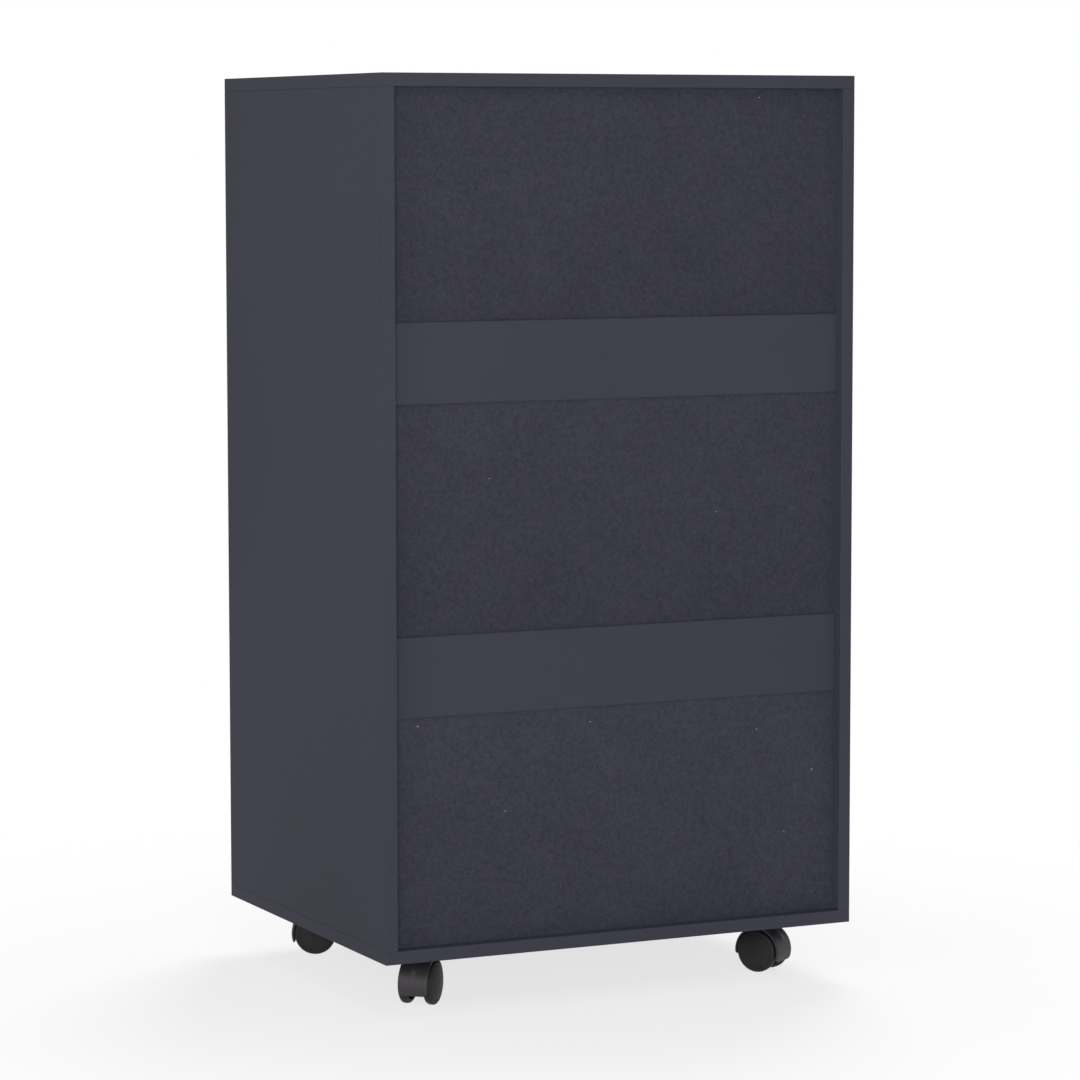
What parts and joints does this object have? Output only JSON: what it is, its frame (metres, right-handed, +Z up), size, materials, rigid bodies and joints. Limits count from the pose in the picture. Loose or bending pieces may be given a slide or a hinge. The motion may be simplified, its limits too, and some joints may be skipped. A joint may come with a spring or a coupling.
{
  "type": "rolling drawer cabinet",
  "caption": "Rolling office cabinet with inset drawers on roller runners, a railed and panelled back, and hooded twin-wheel swivel casters.",
  "frame": {"origin": "on the floor, under the middle of the cabinet's outline with its handles", "axes": "+Z up, the drawer fronts face -Y and the panelled back faces +Y; the right-hand side, seen from the front, is +X"},
  "size_m": [0.6, 0.512, 1.064],
  "materials": {
    "laminate": "matte melamine-faced chipboard",
    "hardboard": "textured painted hardboard",
    "beech": "raw",
    "plated_steel": "zinc plated",
    "brushed_steel": "brushed",
    "coated_steel": "epoxy coated",
    "nylon": "smooth",
    "caster_plastic": "semi-gloss"
  },
  "bodies": {
    "cabinet": {"top_panel": "laminate", "bottom_panel": "laminate", "left_side_panel": "laminate", "right_side_panel": "laminate", "lower_back_panel": "hardboard", "middle_back_panel": "hardboard", "upper_back_panel": "hardboard", "lower_back_rail": "laminate", "upper_back_rail": "laminate", "cam_fittings": "plated_steel", "dowels": "beech", "cabinet_runners": "coated_steel", "cabinet_screws": "plated_steel", "caster_plates": "plated_steel"},
    "lower_drawer": {"lower_drawer_front": "laminate", "lower_drawer_left_side": "laminate", "lower_drawer_right_side": "laminate", "lower_drawer_back": "laminate", "lower_drawer_bottom": "hardboard", "lower_drawer_handle": "brushed_steel", "lower_drawer_fittings": "plated_steel", "lower_drawer_runners": "coated_steel"},
    "lower_cabinet_rollers": {"lower_cabinet_rollers": "nylon"},
    "lower_drawer_rollers": {"lower_drawer_rollers": "nylon"},
    "middle_drawer": {"middle_drawer_front": "laminate", "middle_drawer_left_side": "laminate", "middle_drawer_right_side": "laminate", "middle_drawer_back": "laminate", "middle_drawer_bottom": "hardboard", "middle_drawer_handle": "brushed_steel", "middle_drawer_fittings": "plated_steel", "middle_drawer_runners": "coated_steel"},
    "middle_cabinet_rollers": {"middle_cabinet_rollers": "nylon"},
    "middle_drawer_rollers": {"middle_drawer_rollers": "nylon"},
    "upper_drawer": {"upper_drawer_front": "laminate", "upper_drawer_left_side": "laminate", "upper_drawer_right_side": "laminate", "upper_drawer_back": "laminate", "upper_drawer_bottom": "hardboard", "upper_drawer_handle": "brushed_steel", "upper_drawer_fittings": "plated_steel", "upper_drawer_runners": "coated_steel"},
    "upper_cabinet_rollers": {"upper_cabinet_rollers": "nylon"},
    "upper_drawer_rollers": {"upper_drawer_rollers": "nylon"},
    "back_right_caster": {"back_right_caster_hood": "caster_plastic", "back_right_caster_axle": "plated_steel"},
    "back_right_caster_wheel_1": {"back_right_caster_wheel_1": "caster_plastic"},
    "back_right_caster_wheel_2": {"back_right_caster_wheel_2": "caster_plastic"},
    "back_left_caster": {"back_left_caster_hood": "caster_plastic", "back_left_caster_axle": "plated_steel"},
    "back_left_caster_wheel_1": {"back_left_caster_wheel_1": "caster_plastic"},
    "back_left_caster_wheel_2": {"back_left_caster_wheel_2": "caster_plastic"},
    "front_right_caster": {"front_right_caster_hood": "caster_plastic", "front_right_caster_axle": "plated_steel"},
    "front_right_caster_wheel_1": {"front_right_caster_wheel_1": "caster_plastic"},
    "front_right_caster_wheel_2": {"front_right_caster_wheel_2": "caster_plastic"},
    "front_left_caster": {"front_left_caster_hood": "caster_plastic", "front_left_caster_axle": "plated_steel"},
    "front_left_caster_wheel_1": {"front_left_caster_wheel_1": "caster_plastic"},
    "front_left_caster_wheel_2": {"front_left_caster_wheel_2": "caster_plastic"}
  },
  "joints": [
    {"name": "lower_drawer_slide", "type": "slide", "parent": "cabinet", "child": "lower_drawer", "axis": [0, -1, 0], "range_m": [0, 0.3]},
    {"name": "lower_cabinet_rollers_turn", "type": "hinge", "parent": "cabinet", "child": "lower_cabinet_rollers", "pos_m": [0, -0.19, 0.132], "axis": [1, 0, 0], "continuous": true},
    {"name": "lower_drawer_rollers_turn", "type": "hinge", "parent": "lower_drawer", "child": "lower_drawer_rollers", "pos_m": [0, 0.176, 0.1298], "axis": [1, 0, 0], "continuous": true},
    {"name": "middle_drawer_slide", "type": "slide", "parent": "cabinet", "child": "middle_drawer", "axis": [0, -1, 0], "range_m": [0, 0.3]},
    {"name": "middle_cabinet_rollers_turn", "type": "hinge", "parent": "cabinet", "child": "middle_cabinet_rollers", "pos_m": [0, -0.19, 0.45433], "axis": [1, 0, 0], "continuous": true},
    {"name": "middle_drawer_rollers_turn", "type": "hinge", "parent": "middle_drawer", "child": "middle_drawer_rollers", "pos_m": [0, 0.176, 0.45213], "axis": [1, 0, 0], "continuous": true},
    {"name": "upper_drawer_slide", "type": "slide", "parent": "cabinet", "child": "upper_drawer", "axis": [0, -1, 0], "range_m": [0, 0.3]},
    {"name": "upper_cabinet_rollers_turn", "type": "hinge", "parent": "cabinet", "child": "upper_cabinet_rollers", "pos_m": [0, -0.19, 0.77667], "axis": [1, 0, 0], "continuous": true},
    {"name": "upper_drawer_rollers_turn", "type": "hinge", "parent": "upper_drawer", "child": "upper_drawer_rollers", "pos_m": [0, 0.176, 0.77447], "axis": [1, 0, 0], "continuous": true},
    {"name": "back_right_caster_swivel", "type": "hinge", "parent": "cabinet", "child": "back_right_caster", "pos_m": [0.216, 0.173, 0.054], "axis": [0, 0, 1], "continuous": true},
    {"name": "back_right_caster_wheel_1_roll", "type": "hinge", "parent": "back_right_caster", "child": "back_right_caster_wheel_1", "pos_m": [0.21442, 0.1926, 0.025], "axis": [-0.7193, 0.6947, 0], "continuous": true},
    {"name": "back_right_caster_wheel_2_roll", "type": "hinge", "parent": "back_right_caster", "child": "back_right_caster_wheel_2", "pos_m": [0.23564, 0.17211, 0.025], "axis": [-0.7193, 0.6947, 0], "continuous": true},
    {"name": "back_left_caster_swivel", "type": "hinge", "parent": "cabinet", "child": "back_left_caster", "pos_m": [-0.216, 0.173, 0.054], "axis": [0, 0, 1], "continuous": true},
    {"name": "back_left_caster_wheel_1_roll", "type": "hinge", "parent": "back_left_caster", "child": "back_left_caster_wheel_1", "pos_m": [-0.23545, 0.17587, 0.025], "axis": [-0.8387, -0.5446, 0], "continuous": true},
    {"name": "back_left_caster_wheel_2_roll", "type": "hinge", "parent": "back_left_caster", "child": "back_left_caster_wheel_2", "pos_m": [-0.21071, 0.19194, 0.025], "axis": [-0.8387, -0.5446, 0], "continuous": true},
    {"name": "front_right_caster_swivel", "type": "hinge", "parent": "cabinet", "child": "front_right_caster", "pos_m": [0.206, -0.146, 0.054], "axis": [0, 0, 1], "continuous": true},
    {"name": "front_right_caster_wheel_1_roll", "type": "hinge", "parent": "front_right_caster", "child": "front_right_caster_wheel_1", "pos_m": [0.22387, -0.13781, 0.025], "axis": [0.4067, 0.9135, 0], "continuous": true},
    {"name": "front_right_caster_wheel_2_roll", "type": "hinge", "parent": "front_right_caster", "child": "front_right_caster_wheel_2", "pos_m": [0.21188, -0.16476, 0.025], "axis": [0.4067, 0.9135, 0], "continuous": true},
    {"name": "front_left_caster_swivel", "type": "hinge", "parent": "cabinet", "child": "front_left_caster", "pos_m": [-0.206, -0.146, 0.054], "axis": [0, 0, 1], "continuous": true},
    {"name": "front_left_caster_wheel_1_roll", "type": "hinge", "parent": "front_left_caster", "child": "front_left_caster_wheel_1", "pos_m": [-0.21155, -0.16486, 0.025], "axis": [0.4226, -0.9063, 0], "continuous": true},
    {"name": "front_left_caster_wheel_2_roll", "type": "hinge", "parent": "front_left_caster", "child": "front_left_caster_wheel_2", "pos_m": [-0.22402, -0.13813, 0.025], "axis": [0.4226, -0.9063, 0], "continuous": true}
  ],
  "couplings": [
    {"joint": "lower_cabinet_rollers_turn", "follows": "lower_drawer_slide", "rad_per_m": 95.238},
    {"joint": "lower_drawer_rollers_turn", "follows": "lower_drawer_slide", "rad_per_m": 95.238},
    {"joint": "middle_cabinet_rollers_turn", "follows": "middle_drawer_slide", "rad_per_m": 95.238},
    {"joint": "middle_drawer_rollers_turn", "follows": "middle_drawer_slide", "rad_per_m": 95.238},
    {"joint": "upper_cabinet_rollers_turn", "follows": "upper_drawer_slide", "rad_per_m": 95.238},
    {"joint": "upper_drawer_rollers_turn", "follows": "upper_drawer_slide", "rad_per_m": 95.238}
  ]
}
